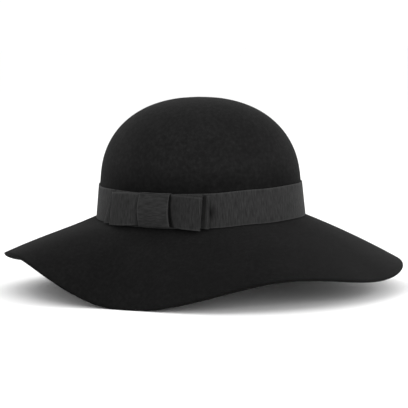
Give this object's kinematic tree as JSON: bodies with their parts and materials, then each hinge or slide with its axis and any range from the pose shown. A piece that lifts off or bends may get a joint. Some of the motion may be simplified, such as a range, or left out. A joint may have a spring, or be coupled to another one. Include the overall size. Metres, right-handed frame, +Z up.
{
  "type": "wide brim hat",
  "caption": "Floppy wide brim hat in blocked felt: a high round crown, a wavy raw edged brim, and a ribbon band with a flat tailored bow at the side.",
  "frame": {"origin": "on the floor the hat rests on, midway between its cut edges in front, behind and at the sides", "axes": "+Z up; -Y towards the front of the hat; -X towards the wearer's right, the side with the bow"},
  "size_m": [0.3252, 0.3714, 0.1802],
  "materials": {
    "felt": "black wool felt, matt, with a short fuzzy nap",
    "ribbon": "charcoal black grosgrain ribbon, fine cross ribs, a slight sheen"
  },
  "bodies": {
    "root": {"felt_body": "felt", "hat_band": "ribbon", "bow_back_loops": "ribbon", "bow_front_loops": "ribbon", "bow_knot": "ribbon"}
  },
  "joints": []
}
